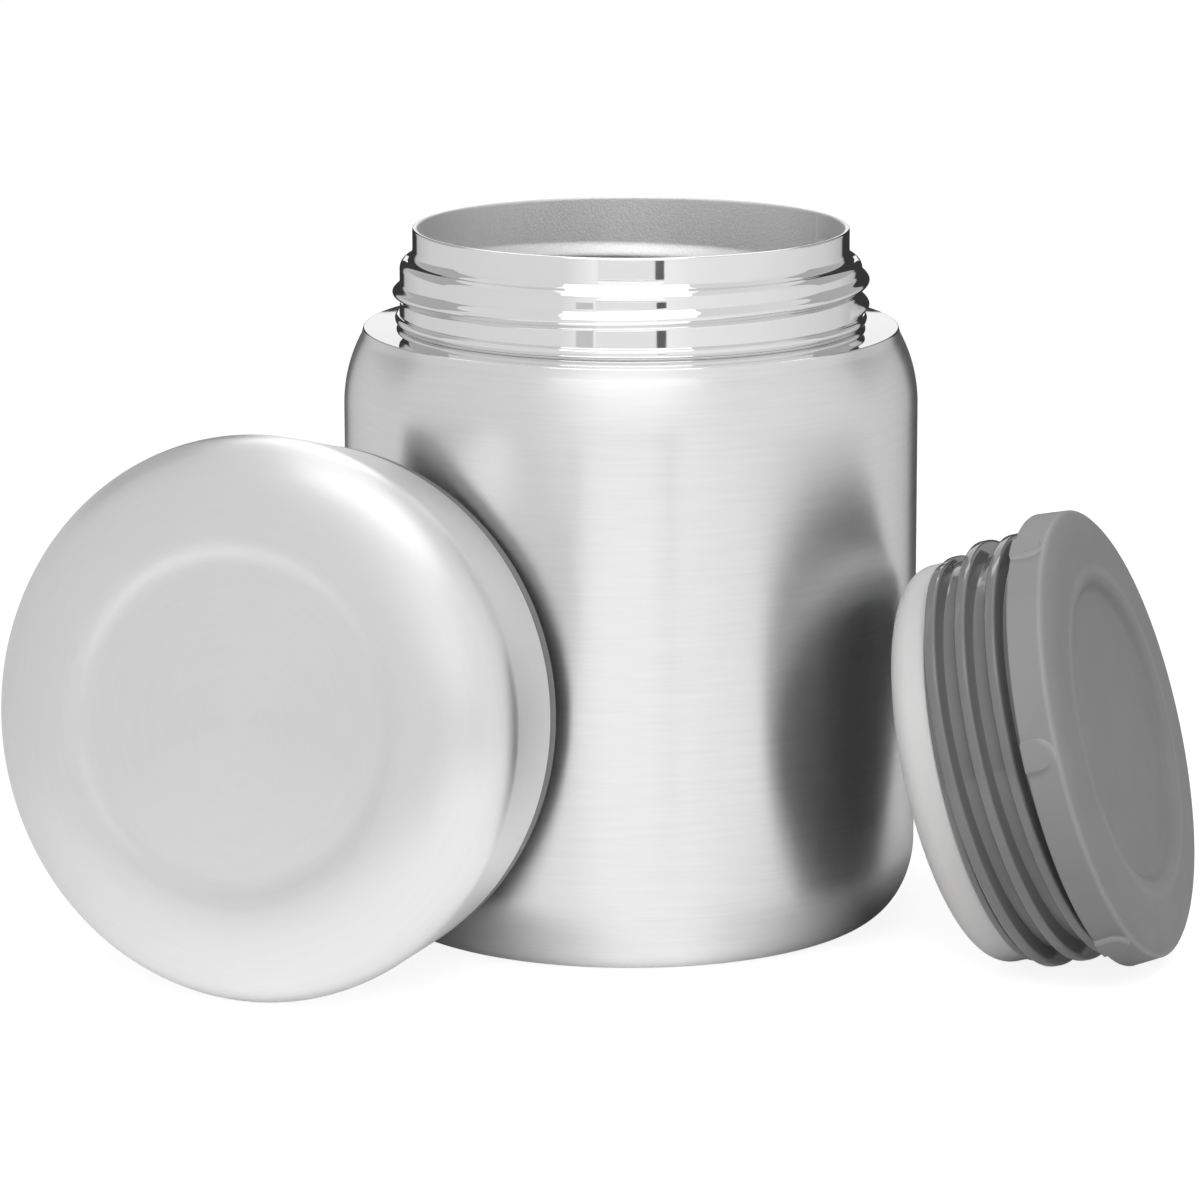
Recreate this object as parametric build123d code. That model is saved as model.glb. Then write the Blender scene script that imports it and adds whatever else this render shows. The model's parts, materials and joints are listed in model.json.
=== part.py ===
from build123d import *
import os
from math import acos, asin, atan2, ceil, cos, degrees, hypot, pi, radians, sin, sqrt

# Vacuum-insulated food jar with its screw-on steel lid and its screw-in stopper.
# The jar stands on its base at the origin, +Z up along its own axis. The lid and the stopper are off:
# each lies on its side beside the jar. All lengths are in millimetres, all angles in degrees.
# Profiles are drawn as (radius, height) pairs and turned about Z.

# ---- jar body ----
steel = 0.4                     # sheet thickness of both walls of the vessel
body_radius = 49.0
seat_height = 103.0             # flat ring at the foot of the neck, which carries the closed lid
base_corner_radial = 9.8        # the lower corner is a quarter ellipse
base_corner_height = 13.6
shoulder_rise = 13.6            # from the end of the straight wall up to the seat ring
shoulder_arc = 24.4             # radius of the curve that draws the shoulder in
shoulder_draw = 3.4             # the seat ring's edge lies this far inside the body's wall
seat_edge_drop = 0.5            # the ring falls this much from the neck to its edge
edge_fillet = 0.4

# ---- neck ----
neck_draw = 9.6                 # from the body's wall in to the neck
neck_height = 16.5              # from the seat ring up to the rim
neck_bead_radius = 0.85         # bead just above the seat ring
neck_bead_lift = 0.1
lip_draw = 2.2                  # from the neck in to the lip
lip_height = 3.6                # straight lip under the rim
flare_height = 3.4              # double bend from the lip out to the neck
lid_thread_pitch = 4.2
lid_thread_width = 2.8
lid_thread_height = 1.25
lid_thread_foot = 3.28          # from the seat ring up to the middle of the thread's lower end
lid_thread_drop = 8.6           # from the rim down to the middle of the thread's upper end
lid_thread_top_angle = 20.0

# ---- mouth of the inner vessel ----
mouth_plain_depth = 6.6         # plain wall from the rim to the top of the inside thread
stopper_thread_pitch = 5.2
mouth_thread_width = 2.4
mouth_thread_height = 1.0
mouth_thread_turns = 1.3
mouth_thread_top_angle = 190.0
throat_draw = 4.2               # from the mouth in to the narrowest bore, under the seal seat
throat_length = 2.0
throat_flare = 15.0             # height over which the throat widens to the vessel
vacuum_gap = 3.6
inner_floor_height = 8.5
inner_corner = 13.0
inner_cup_rim = 0.5             # straight rim of the cup, from its corner up to the weld with the tube

# ---- base ----
base_ring_width = 1.4           # flat ring that the jar stands on
base_roll = 1.2                 # radius of the roll up into the base recess
base_flange_height = 4.2
base_disc_lift = 1.8            # underside of the closing disc above the table
evac_dimple_radius = 5.0
evac_dimple_depth = 1.4
evac_hole_radius = 0.8
cap_margin = 1.2                # gap between the base cap and the flange round it
cap_thickness = 0.4
tape_width = 6.0
tape_thickness = 0.6

# ---- inner parts of the vacuum space ----
foil = 0.15
foil_gap = 0.3
foil_wrap_drop = 3.0            # from the start of the throat's flare down to the foil's edge
getter_radius = 5.0
getter_height = 1.6
getter_inset = 16.6             # from the edge of the base opening in to the getter's middle
clip_thickness = 0.3
clip_width = 4.0
clip_foot = 4.0

# ---- lid ----
lid_steel = 0.5
lid_reach = 4.9                 # from the neck out to the steel's edge at the opening
lid_taper = 2.2                 # the wall widens this much from the opening to the crown
lid_crown_width = 15.7          # the crown is a quarter ellipse, this far across
lid_crown_height = 9.8
dish_depth = 1.0                # shallow dish inside the crown
dish_bend = 8.0                 # radius of both bends at the dish's edge
liner_foot_height = 3.4         # liner that shows past the steel edge
liner_foot_inset = 0.3
liner_wall = 1.8
liner_crest_gap = 0.65          # between the liner's bore and the crest of the neck's thread
liner_plate = 1.6
liner_land_height = 5.0         # stretch where liner and steel meet
liner_land_gap = 0.05
liner_thread_lead_angle = 90.0  # the liner's thread is this far ahead of the neck's
liner_thread_width = 2.2
lid_foam_height = 3.6
lid_foam_margin = 1.0
knob_headroom = 0.8             # between the closed stopper and the liner

# ---- stopper ----
seal_mouth_gap = 2.4            # between the seal and the wall of the mouth
seal_width = 7.2
seal_height = 6.9
seal_corner = 3.4
seal_squeeze = 0.2              # how far the closed seal is pressed into its seat
seal_lip_depth = 0.6            # the seal stands this far below the disc inside it
seal_running_gap = 0.2
seal_groove_height = 1.8        # retaining flange of the base disc, and the groove it fits
seal_groove_depth = 1.2
plug_mouth_gap = 0.3            # between the crest of the plug's thread and the wall of the mouth
plug_thread_height = 3.7
plug_thread_width = 2.6         # across the foot of the thread
plug_crest_width = 1.5
plug_thread_lift = 1.0          # from the seal up to the middle of the thread's lower end
plug_thread_drop = 1.54         # from the knob down to the middle of the thread's upper end
plug_wall = 2.2
plug_height = 15.8              # from the seal up to the knob's underside
plug_floor = 2.0
plug_flange_width = 0.6         # how far the flange over the seal stands out past it
plug_flange_height = 1.2
plug_top_flange_height = 2.4
knob_overhang = 2.1             # from the mouth out to the knob's side
knob_height = 7.2
knob_rim_gap = 0.3              # between the closed knob and the jar's rim
knob_draft = 0.5                # the knob's side draws in this much up to its edge
knob_edge = 0.8                 # radius of the edge between side and face
knob_crown_height = 1.7         # the face falls this much from its flat ring to the edge
knob_crown_width = 5.0
knob_fit = 0.1
knob_flat_width = 11.9          # ring between the knob's side and its dish
knob_dish_depth = 1.6
knob_dish_bend = 2.6
lug_count = 6
lug_width = 5.1
lug_reach = 5.1                 # length of a lug up from the knob's lower edge
lug_height = 0.8
lug_backing = 2.0               # how far a lug runs on into the knob's side
lug_first_angle = 22.0

# ---- how the loose pieces lie ----
lid_facing_angle = 247.2        # compass of the lid's face, from +X towards +Y
lid_bearing_angle = 214.08      # direction from the jar's axis to the lid
lid_jar_gap = 0.6
stopper_facing_angle = -17.65
stopper_bearing_angle = -27.27
stopper_jar_gap = 4.2

# ---- sizes that follow ----
rim_height = seat_height + neck_height
shoulder_start = seat_height - shoulder_rise
seat_edge_radius = body_radius - shoulder_draw
neck_radius = body_radius - neck_draw
lip_radius = neck_radius - lip_draw
mouth_radius = lip_radius - 2 * steel
throat_radius = mouth_radius - throat_draw
vessel_radius = body_radius - 2 * steel - vacuum_gap
inner_cup_height = inner_floor_height + inner_corner + inner_cup_rim
base_opening_radius = body_radius - base_corner_radial - base_ring_width - base_roll
getter_offset = base_opening_radius - getter_inset
lid_thread_turns = (neck_height - lid_thread_drop - lid_thread_foot) / lid_thread_pitch
lid_thread_low_angle = lid_thread_top_angle - 360 * lid_thread_turns

seal_radius = mouth_radius - seal_mouth_gap
base_disc_radius = seal_radius - seal_width
plug_crest_radius = mouth_radius - plug_mouth_gap
plug_root_radius = plug_crest_radius - plug_thread_height
plug_flange_radius = seal_radius + plug_flange_width
plug_thread_start = seal_height + plug_thread_lift
plug_thread_turns = (plug_height - plug_thread_lift - plug_thread_drop) / stopper_thread_pitch
knob_radius = mouth_radius + knob_overhang
knob_dish_radius = knob_radius - knob_flat_width
knob_underside = seal_height + plug_height
stopper_height = knob_underside + knob_height
stopper_closed_z = rim_height + knob_rim_gap - knob_underside

liner_bore_radius = neck_radius + lid_thread_height + liner_crest_gap
liner_top_underside = stopper_closed_z + stopper_height + knob_headroom - seat_height
lid_open_radius = neck_radius + lid_reach
lid_wide_radius = lid_open_radius + lid_taper
liner_foot_radius = lid_open_radius - liner_foot_inset
dish_radius = lid_wide_radius - lid_crown_width
lid_height = liner_top_underside + liner_plate + lid_foam_height + lid_steel + dish_depth
crown_foot = lid_height - lid_crown_height
longest_sweep_turns = 0.3       # a thread is drawn in pieces no longer than this


def profile(*edges):
    """A flat face in the XZ plane from edges drawn as (radius, height)."""
    return Plane.XZ * make_face(Wire(edges))


def turned(*edges):
    """A solid of revolution about Z from a closed outline of (radius, height) edges."""
    return revolve(profile(*edges), Axis.Z)


def ring(inner, outer, low, high):
    """A plain ring or, with no inner radius, a disc."""
    body = Pos(0, 0, low) * Cylinder(outer, high - low, align=(Align.CENTER, Align.CENTER, Align.MIN))
    if inner > 0:
        body -= Pos(0, 0, low) * Cylinder(inner, high - low, align=(Align.CENTER, Align.CENTER, Align.MIN))
    return body


def sheet(edges, thickness, side):
    """A turned piece of sheet metal whose finished face follows the edges."""
    outline = offset(Wire(edges), thickness, kind=Kind.INTERSECTION, side=side)
    # The offset of an ellipse is redrawn as a spline, which a STEP file can hold.
    drawn = [
        Spline([edge @ (step / 12) for step in range(13)], tangents=[edge % 0, edge % 1])
        if edge.geom_type == GeomType.OFFSET else edge
        for edge in outline.edges()
    ]
    return revolve(Plane.XZ * make_face(drawn), Axis.Z)


def double_bend(start, end):
    """Two equal arcs that join two upright walls of different radius."""
    middle = ((start[0] + end[0]) / 2, (start[1] + end[1]) / 2)
    away = 1 if end[1] > start[1] else -1
    first = TangentArc(start, middle, tangent=(0, away))
    second = TangentArc(end, middle, tangent=(0, -away))
    return [first, second]


def thread_section(root, crest, foot_width, crest_width, bury):
    """Half of a thread's cross-section, above its middle line, closed along that line."""
    nose = root + (crest - root) * (1 - 0.5 * crest_width / foot_width)
    if crest_width < foot_width:
        flank = [Line((root, foot_width / 2), (nose, crest_width / 2))]
        crest_arc = ThreePointArc(
            (nose, crest_width / 2),
            (nose + (crest - nose) * sin(pi / 4), crest_width / 2 * cos(pi / 4)),
            (crest, 0),
        )
    else:
        flank = []
        crest_arc = ThreePointArc(
            (root, foot_width / 2),
            (root + (crest - root) * sin(pi / 4), foot_width / 2 * cos(pi / 4)),
            (crest, 0),
        )
    return [
        Line((bury, 0), (bury, foot_width / 2)),
        Line((bury, foot_width / 2), (root, foot_width / 2)),
        *flank,
        crest_arc,
        Line((crest, 0), (bury, 0)),
    ]


def thread(root, crest, foot_width, crest_width, pitch, turns, start_angle, start_height, bury_depth):
    """A right-handed thread ridge with rounded ends, standing out of (or into) a wall at the root radius."""
    bury = root - bury_depth if crest > root else root + bury_depth
    upper = profile(*thread_section(root, crest, foot_width, crest_width, bury))
    whole = upper + mirror(upper, about=Plane.XY)
    count = ceil(turns / longest_sweep_turns)
    piece = sweep(whole, path=Helix(pitch, pitch * turns / count, root), is_frenet=True)
    ridge = revolve(upper, Axis.X, 180)
    for index in range(count):
        ridge += Pos(0, 0, pitch * turns * index / count) * Rot(0, 0, 360 * turns * index / count) * piece
    ridge += Pos(0, 0, pitch * turns) * Rot(0, 0, 360 * turns) * revolve(upper, Axis.X, -180)
    return Pos(0, 0, start_height) * Rot(0, 0, start_angle) * ridge


# ---------------------------------------------------------------- jar
def seal_seat_height(radius):
    """Height of the 45 degree seal seat at a radius, from the closed seal's rounded corner."""
    corner_radius = seal_radius - seal_corner
    corner_height = stopper_closed_z + seal_corner
    return corner_height + (radius - corner_radius) - (seal_corner - seal_squeeze) * sqrt(2)


def outer_shell():
    """Steel body, shoulder, seat ring and threaded neck, drawn along their outside."""
    flat_end = body_radius - base_corner_radial
    roll = CenterArc((flat_end - base_ring_width, base_roll), base_roll, 180, 90)
    corner = EllipticalCenterArc(
        (flat_end, base_corner_height), base_corner_radial, base_corner_height, 270, arc_size=90
    )
    seat_foot = (neck_radius, seat_height)
    edge_top = (seat_edge_radius, seat_height - seat_edge_drop)
    arc_angle = degrees(acos((seat_edge_radius + edge_fillet - body_radius + shoulder_arc) / shoulder_arc))
    shoulder = CenterArc((body_radius - shoulder_arc, shoulder_start), shoulder_arc, 0, arc_angle)
    step_and_ring = FilletPolyline(shoulder @ 1, edge_top, seat_foot, radius=edge_fillet)
    bead_low = (neck_radius, seat_height + neck_bead_lift)
    bead_high = (neck_radius, seat_height + neck_bead_lift + 2 * neck_bead_radius)
    bead_mid = (neck_radius + neck_bead_radius, seat_height + neck_bead_lift + neck_bead_radius)
    neck_top = (neck_radius, rim_height - lip_height - flare_height)
    lip_foot = (lip_radius, rim_height - lip_height)
    outside = [
        Line((base_opening_radius, base_flange_height), (base_opening_radius, base_roll)),
        roll,
        Line((flat_end - base_ring_width, 0), (flat_end, 0)),
        corner,
        Line((body_radius, base_corner_height), (body_radius, shoulder_start)),
        shoulder,
        *step_and_ring.edges(),
        Line(seat_foot, neck_top),
        *double_bend(neck_top, lip_foot),
        Line(lip_foot, (lip_radius, rim_height)),
    ]
    ridge = thread(
        neck_radius, neck_radius + lid_thread_height, lid_thread_width, lid_thread_width,
        lid_thread_pitch, lid_thread_turns, lid_thread_low_angle, seat_height + lid_thread_foot, steel / 2,
    )
    bead = turned(
        Line((neck_radius - steel / 2, bead_low[1]), bead_low),
        ThreePointArc(bead_low, bead_mid, bead_high),
        Line(bead_high, (neck_radius - steel / 2, bead_high[1])),
        Line((neck_radius - steel / 2, bead_high[1]), (neck_radius - steel / 2, bead_low[1])),
    )
    return sheet(outside, steel, Side.LEFT) + bead + ridge


def inner_wall():
    """Tube of the inner vessel: plain mouth, inside thread, seal seat, throat and wall."""
    throat_top = seal_seat_height(throat_radius)
    throat_low = throat_top - throat_length
    flare_low = throat_low - throat_flare
    inside = [
        Line((mouth_radius, rim_height), (mouth_radius, seal_seat_height(mouth_radius))),
        Line((mouth_radius, seal_seat_height(mouth_radius)), (throat_radius, throat_top)),
        Line((throat_radius, throat_top), (throat_radius, throat_low)),
        *double_bend((throat_radius, throat_low), (vessel_radius, flare_low)),
        Line((vessel_radius, flare_low), (vessel_radius, inner_cup_height)),
    ]
    top_end = rim_height - mouth_plain_depth - mouth_thread_width / 2
    ridge = thread(
        mouth_radius, mouth_radius - mouth_thread_height, mouth_thread_width, mouth_thread_width,
        stopper_thread_pitch, mouth_thread_turns,
        mouth_thread_top_angle - 360 * mouth_thread_turns,
        top_end - stopper_thread_pitch * mouth_thread_turns, steel / 2,
    )
    return sheet(inside, steel, Side.LEFT) + ridge


def inner_bottom():
    """Drawn cup that closes the inner vessel from below."""
    flat_end = vessel_radius - inner_corner
    inside = [
        Line((vessel_radius, inner_cup_height), (vessel_radius, inner_floor_height + inner_corner)),
        CenterArc((flat_end, inner_floor_height + inner_corner), inner_corner, 0, -90),
        Line((flat_end, inner_floor_height), (0, inner_floor_height)),
    ]
    return sheet(inside, steel, Side.LEFT)


def heat_shield_wrap():
    """Foil wound round the straight wall of the inner vessel."""
    inner = vessel_radius + steel + foil_gap
    top = seal_seat_height(throat_radius) - throat_length - throat_flare - foil_wrap_drop
    return ring(inner, inner + foil, inner_cup_height, top)


def heat_shield_disc():
    """Foil disc that lies under the flat of the inner vessel's bottom."""
    top = inner_floor_height - steel
    return ring(0, vessel_radius - inner_corner, top - foil, top)


def outer_bottom():
    """Pressed disc that closes the shell, with the evacuation dimple and its hole."""
    top = base_disc_lift
    dimple_top = top + evac_dimple_depth
    underside = [
        Line((0, dimple_top), (evac_dimple_radius - evac_dimple_depth, dimple_top)),
        Line((evac_dimple_radius - evac_dimple_depth, dimple_top), (evac_dimple_radius, top)),
        Line((evac_dimple_radius, top), (base_opening_radius - base_roll, top)),
        CenterArc((base_opening_radius - base_roll, top + base_roll), base_roll, 270, 90),
        Line((base_opening_radius, top + base_roll), (base_opening_radius, base_flange_height)),
    ]
    disc = sheet(underside, steel, Side.LEFT)
    return disc - ring(0, evac_hole_radius, 0, base_flange_height)


def vacuum_plug():
    """Bead of solder glass that fills the dimple and seals the evacuation hole."""
    top = base_disc_lift + evac_dimple_depth
    reach = evac_dimple_radius - 2 * evac_dimple_depth
    bead = ring(0, reach, top - evac_dimple_depth / 2, top)
    return bead + ring(0, evac_hole_radius, top, top + steel)


def base_tape():
    """Adhesive ring between the closing disc and the base cap."""
    outer = base_opening_radius - base_roll - cap_margin
    return ring(outer - tape_width, outer, base_disc_lift - tape_thickness, base_disc_lift)


def base_cap():
    """Thin steel disc glued into the base recess over the sealed hole."""
    outer = base_opening_radius - cap_margin
    top = base_disc_lift - tape_thickness
    cap = ring(0, outer, top - cap_thickness, top)
    return fillet(cap.edges().sort_by(Axis.Z)[:1], cap_thickness / 2)


def getter_pellet():
    """Round pellet that stands on the closing disc inside the vacuum space."""
    low = base_disc_lift + steel
    return Pos(getter_offset, 0, 0) * ring(0, getter_radius, low, low + getter_height)


def getter_clip():
    """Bent strap, spot-welded beside the pellet, that holds it down."""
    low = base_disc_lift + steel
    top = low + getter_height
    reach = getter_radius + clip_thickness
    bridge = Pos(getter_offset, 0, top + clip_thickness / 2) * Box(2 * reach, clip_width, clip_thickness)
    for direction in (-1, 1):
        leg_place = getter_offset + direction * (reach - clip_thickness / 2)
        foot_place = getter_offset + direction * (reach + clip_foot / 2)
        bridge += Pos(leg_place, 0, (low + top) / 2) * Box(clip_thickness, clip_width, getter_height)
        bridge += Pos(foot_place, 0, low + clip_thickness / 2) * Box(clip_foot, clip_width, clip_thickness)
    return bridge


# ---------------------------------------------------------------- lid, drawn closed side down from z = 0
def crown_start():
    """Where the straight tapered wall runs tangent into the crown's ellipse: its angle and its point."""
    u = (lid_open_radius - dish_radius) / lid_crown_width
    v = (liner_foot_height - crown_foot) / lid_crown_height
    angle = atan2(v, u) + acos(1 / hypot(u, v))
    start = (dish_radius + lid_crown_width * cos(angle), crown_foot + lid_crown_height * sin(angle))
    return degrees(angle), start


def lid_shell():
    """Steel shell: tapered wall, elliptical crown and the shallow dish in its face."""
    top = lid_height
    start_angle, start = crown_start()
    bend = degrees(acos(1 - dish_depth / 2 / dish_bend))
    run = dish_bend * sin(radians(bend))
    middle = (dish_radius - run, top - dish_depth / 2)
    outside = [
        Line((lid_open_radius, liner_foot_height), start),
        EllipticalCenterArc(
            (dish_radius, crown_foot), lid_crown_width, lid_crown_height, start_angle, arc_size=90 - start_angle
        ),
        TangentArc((dish_radius, top), middle, tangent=(-1, 0)),
        TangentArc((dish_radius - 2 * run, top - dish_depth), middle, tangent=(1, 0)),
        Line((dish_radius - 2 * run, top - dish_depth), (0, top - dish_depth)),
    ]
    return sheet(outside, lid_steel, Side.LEFT)


def lid_liner():
    """Plastic liner: foot ring, threaded wall and the plate over the stopper."""
    plate_low = liner_top_underside
    wall_outer = liner_bore_radius + liner_wall
    land_outer = lid_open_radius - lid_steel - liner_land_gap
    body = ring(liner_bore_radius, wall_outer, 0, plate_low)
    body += ring(liner_bore_radius, liner_foot_radius, 0, liner_foot_height)
    body += ring(liner_bore_radius, land_outer, liner_foot_height, liner_foot_height + liner_land_height)
    body += ring(0, wall_outer, plate_low, plate_low + liner_plate)
    # Closed, the liner's thread runs half a pitch below the neck's.
    low_end = lid_thread_foot + lid_thread_pitch * (liner_thread_lead_angle / 360 - 0.5)
    ridge = thread(
        liner_bore_radius, liner_bore_radius - lid_thread_height, liner_thread_width, liner_thread_width,
        lid_thread_pitch, lid_thread_turns,
        lid_thread_low_angle + liner_thread_lead_angle, low_end, liner_wall / 2,
    )
    return body + ridge


def lid_foam():
    """Insulating disc between the liner's plate and the steel."""
    low = liner_top_underside + liner_plate
    return ring(0, dish_radius - lid_foam_margin, low, low + lid_foam_height)


# ---------------------------------------------------------------- stopper, drawn seal down from z = 0
def stopper_seal():
    """Silicone ring with a rounded lower corner and a groove for the base disc's flange."""
    inner = base_disc_radius + seal_running_gap
    groove = inner + seal_groove_depth
    low = seal_lip_depth
    rise = low + seal_groove_height + seal_running_gap
    return turned(
        Line((groove, 0), (seal_radius - seal_corner, 0)),
        CenterArc((seal_radius - seal_corner, seal_corner), seal_corner, 270, 90),
        Line((seal_radius, seal_corner), (seal_radius, seal_height)),
        Line((seal_radius, seal_height), (inner, seal_height)),
        Line((inner, seal_height), (inner, rise)),
        Line((inner, rise), (groove, rise)),
        Line((groove, rise), (groove, 0)),
    )


def stopper_base():
    """Disc under the plug whose flange keeps the seal on."""
    low = seal_lip_depth
    disc = ring(0, base_disc_radius, low, seal_height)
    flange = ring(0, base_disc_radius + seal_groove_depth, low, low + seal_groove_height)
    return disc + flange


def stopper_plug():
    """Threaded cup with a flange over the seal and another one inside the knob."""
    floor_top = seal_height + plug_floor
    outer = ring(0, plug_root_radius, seal_height, knob_underside)
    outer += ring(0, plug_flange_radius, seal_height, seal_height + plug_flange_height)
    outer += ring(0, plug_root_radius + plug_wall, knob_underside, knob_underside + plug_top_flange_height)
    ridge = thread(
        plug_root_radius, plug_crest_radius, plug_thread_width, plug_crest_width,
        stopper_thread_pitch, plug_thread_turns, 0, plug_thread_start, plug_wall / 2,
    )
    hollow = ring(0, plug_root_radius - plug_wall, floor_top, stopper_height)
    below = ring(0, plug_crest_radius + plug_wall, 0, seal_height)
    return outer + ridge - hollow - below


def stopper_foam():
    """Insulating core that fills the plug."""
    low = seal_height + plug_floor
    high = knob_underside + plug_top_flange_height
    return ring(0, plug_root_radius - plug_wall - knob_fit, low, high)


def knob_body():
    """The knob before its dish is cut: drafted side, crisp edge and a face that falls towards that edge."""
    edge = (knob_radius - knob_draft, stopper_height - knob_crown_height)
    flat_end = (knob_radius - knob_crown_width, stopper_height)
    outline = make_face([
        Line((0, knob_underside), (knob_radius, knob_underside)),
        Line((knob_radius, knob_underside), edge),
        TangentArc(flat_end, edge, tangent=(1, 0)),
        Line(flat_end, (0, stopper_height)),
        Line((0, stopper_height), (0, knob_underside)),
    ])
    outline = fillet(outline.vertices().sort_by_distance(edge)[0], knob_edge)
    return revolve(Plane.XZ * outline, Axis.Z)


def knob_lug():
    """One grip lug: open towards the thread, rounded towards the face, as tall as the drafted side allows."""
    slot = SlotOverall(2 * lug_reach, lug_width)
    upper_half = Pos(0, lug_reach) * Rectangle(2 * lug_width, 2 * lug_reach)
    outline = Pos(0, knob_underside) * (Rot(0, 0, 90) * slot & upper_half)
    post = extrude(Plane(origin=(0, 0, 0), x_dir=(0, 1, 0), z_dir=(1, 0, 0)) * outline, 2 * knob_radius)
    outer = knob_radius + lug_height
    upper = knob_underside + lug_reach
    lean = knob_draft * lug_reach / (knob_height - knob_crown_height)
    inner = knob_radius - lug_backing
    sleeve = turned(
        Line((inner, knob_underside), (outer, knob_underside)),
        Line((outer, knob_underside), (outer - lean, upper)),
        Line((outer - lean, upper), (inner, upper)),
        Line((inner, upper), (inner, knob_underside)),
    )
    return post & sleeve


def stopper_knob():
    """Cap with a dished face, fitted over the plug's top flange, with grip lugs round its side."""
    body = knob_body()
    bend = degrees(acos(1 - knob_dish_depth / 2 / knob_dish_bend))
    run = knob_dish_bend * sin(radians(bend))
    top = stopper_height
    middle = (knob_dish_radius - run, top - knob_dish_depth / 2)
    inner_end = (knob_dish_radius - 2 * run, top - knob_dish_depth)
    dish = turned(
        TangentArc((knob_dish_radius, top), middle, tangent=(-1, 0)),
        TangentArc(inner_end, middle, tangent=(1, 0)),
        Line(inner_end, (0, top - knob_dish_depth)),
        Line((0, top - knob_dish_depth), (0, top)),
        Line((0, top), (knob_dish_radius, top)),
    )
    lug = knob_lug()
    for index in range(lug_count):
        body += Rot(0, 0, lug_first_angle + index * 360 / lug_count) * lug
    pocket = ring(0, plug_root_radius + plug_wall + knob_fit, knob_underside,
                  knob_underside + plug_top_flange_height + knob_fit)
    return body - dish - pocket


# ---------------------------------------------------------------- how the loose pieces lie
def side_frame(facing, lean, origin):
    """Frame of a piece on its side: z towards its face, x as near to straight up as can be."""
    face = Vector(
        cos(radians(facing)) * cos(radians(lean)), sin(radians(facing)) * cos(radians(lean)), sin(radians(lean))
    )
    upward = Vector(0, 0, 1) - face * face.Z
    return Plane(origin=origin, x_dir=upward, z_dir=face)


def lay_on_side(rims, facing, lean, bearing, jar_gap):
    """Frame of a piece that lies on its side at a gap from the jar.

    rims are the (radius, height) circles of the piece that can touch the table or the jar.
    """
    rise = max(radius * cos(radians(lean)) - height * sin(radians(lean)) for radius, height in rims)
    nearest, furthest = body_radius / 2, 6 * body_radius
    for _ in range(40):
        distance = (nearest + furthest) / 2
        origin = (distance * cos(radians(bearing)), distance * sin(radians(bearing)), rise)
        frame = side_frame(facing, lean, origin)
        closest = min(
            hypot(point.X, point.Y)
            for radius, height in rims
            for point in (
                frame.from_local_coords(Vector(radius * cos(radians(a)), radius * sin(radians(a)), height))
                for a in range(0, 360, 2)
            )
        )
        if closest < body_radius + jar_gap:
            nearest = distance
        else:
            furthest = distance
    return frame


def lid_frame():
    """The lid lies flush on its tapered wall."""
    radius, height = crown_start()[1]
    lean = degrees(atan2(radius - lid_open_radius, height - liner_foot_height))
    rims = [
        (lid_open_radius, liner_foot_height),
        (radius, height),
        (lid_wide_radius, crown_foot),
        (liner_foot_radius, 0),
    ]
    return lay_on_side(rims, lid_facing_angle, lean, lid_bearing_angle, lid_jar_gap)


def stopper_frame():
    """The stopper lies on the seal's rounded corner and the crest of the thread's first turn."""
    nose = plug_crest_width / 2
    crest_height = plug_thread_start + stopper_thread_pitch / 2
    along = crest_height - seal_corner
    outward = (plug_crest_radius - nose) - (seal_radius - seal_corner)
    lean = degrees(atan2(outward, along) - asin((seal_corner - nose) / hypot(along, outward)))
    touch = radians(lean)
    rims = [
        (seal_radius - seal_corner + seal_corner * cos(touch), seal_corner - seal_corner * sin(touch)),
        (seal_radius, seal_corner),
        (seal_radius - seal_corner, 0),
    ]
    return lay_on_side(rims, stopper_facing_angle, lean, stopper_bearing_angle, stopper_jar_gap)


def main():
    """Make every piece and write it to its own file."""
    os.makedirs("parts", exist_ok=True)
    jar = [
        outer_shell, inner_wall, inner_bottom, heat_shield_wrap, heat_shield_disc, outer_bottom,
        vacuum_plug, getter_pellet, getter_clip, base_tape, base_cap,
    ]
    lid = [lid_shell, lid_liner, lid_foam]
    stopper = [stopper_seal, stopper_base, stopper_plug, stopper_foam, stopper_knob]
    groups = ((jar, Plane.XY), (lid, lid_frame()), (stopper, stopper_frame()))
    for pieces, frame in groups:
        for piece in pieces:
            export_step(frame.location * piece(), f"parts/{piece.__name__}.step")


main()
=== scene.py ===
import json
import math

import bmesh
import bpy
import numpy as np
from mathutils import Matrix, Vector


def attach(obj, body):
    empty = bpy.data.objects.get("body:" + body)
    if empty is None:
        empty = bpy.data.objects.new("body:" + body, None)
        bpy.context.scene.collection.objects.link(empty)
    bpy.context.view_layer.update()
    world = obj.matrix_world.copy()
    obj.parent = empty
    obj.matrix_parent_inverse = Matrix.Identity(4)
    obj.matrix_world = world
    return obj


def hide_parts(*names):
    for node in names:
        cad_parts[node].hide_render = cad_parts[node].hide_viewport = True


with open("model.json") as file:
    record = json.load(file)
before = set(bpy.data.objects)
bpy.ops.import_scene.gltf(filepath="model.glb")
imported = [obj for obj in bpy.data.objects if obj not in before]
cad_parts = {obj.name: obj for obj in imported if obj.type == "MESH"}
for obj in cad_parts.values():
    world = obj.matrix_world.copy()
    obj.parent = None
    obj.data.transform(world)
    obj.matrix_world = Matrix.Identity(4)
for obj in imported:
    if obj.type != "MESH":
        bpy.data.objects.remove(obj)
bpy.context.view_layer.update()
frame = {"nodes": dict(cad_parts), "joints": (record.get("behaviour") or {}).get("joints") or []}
MM = 0.001
SAME_POINT = 1e-5   # mm
ON_AXIS = 1e-6      # mm


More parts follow.
